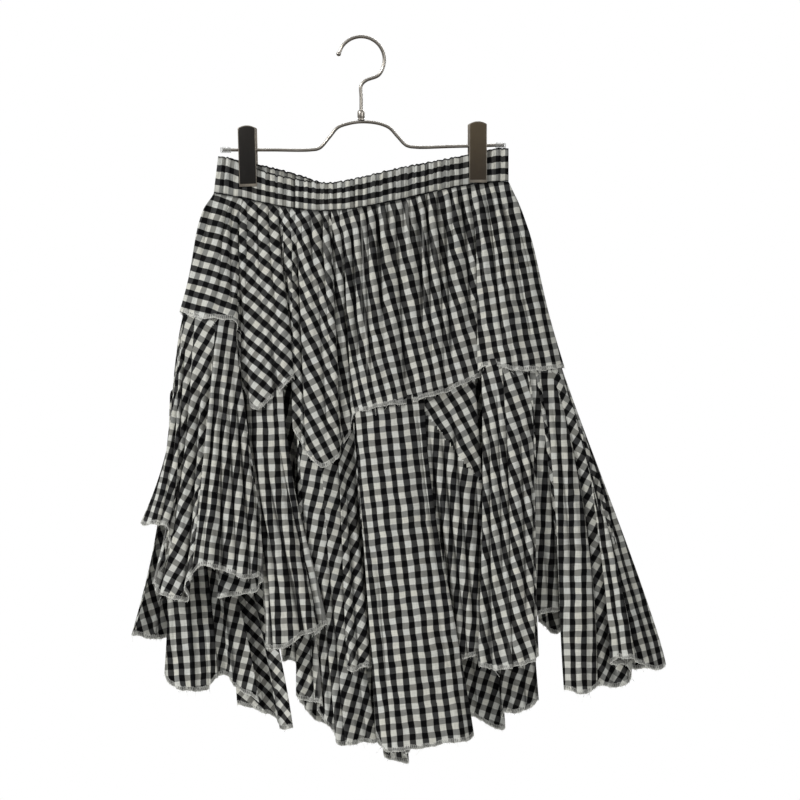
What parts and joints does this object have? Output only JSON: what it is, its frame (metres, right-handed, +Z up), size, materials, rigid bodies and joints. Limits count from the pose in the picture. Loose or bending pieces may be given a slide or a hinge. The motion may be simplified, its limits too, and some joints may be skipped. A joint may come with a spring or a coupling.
{
  "type": "tiered ruffle skirt on clip hanger",
  "caption": "Tiered gingham ruffle skirt with an elastic waist and an uneven flounced hem, hung by its waistband from a wire clip hanger.",
  "frame": {"origin": "the point inside the top of the hanger's hook where a rail carries it", "axes": "+Z up, the skirt's front faces -Y, +X is to the right seen from the front"},
  "size_m": [0.5887, 0.0792, 0.8065],
  "materials": {
    "gingham": "woven black and white check cotton, soft and matt",
    "nickel": "satin nickel plated wire",
    "bronze": "dark bronze plated steel",
    "clear_plastic": "clear soft plastic"
  },
  "bodies": {
    "root": {"waistband_front": "gingham", "waistband_back": "gingham", "upper_tier_front": "gingham", "flounce_left": "gingham", "flounce_mid_left": "gingham", "flounce_inner": "gingham", "godet_centre_left": "gingham", "panel_centre": "gingham", "godet_centre_right": "gingham", "flounce_right": "gingham", "flounce_right_inner": "gingham", "flounce_side_right": "gingham", "upper_tier_back": "gingham", "back_flounce_left": "gingham", "back_flounce_corner": "gingham", "back_panel_centre": "gingham", "back_flounce_right": "gingham", "back_flounce_side_right": "gingham", "hanger_bar": "nickel", "hanger_hook": "nickel", "hanger_ferrule": "nickel", "hanger_sleeve_left": "clear_plastic", "hanger_sleeve_right": "clear_plastic", "clip_left_front": "bronze", "clip_left_back": "bronze", "clip_left_barrel": "nickel", "clip_right_front": "bronze", "clip_right_back": "bronze", "clip_right_barrel": "nickel"}
  },
  "joints": []
}
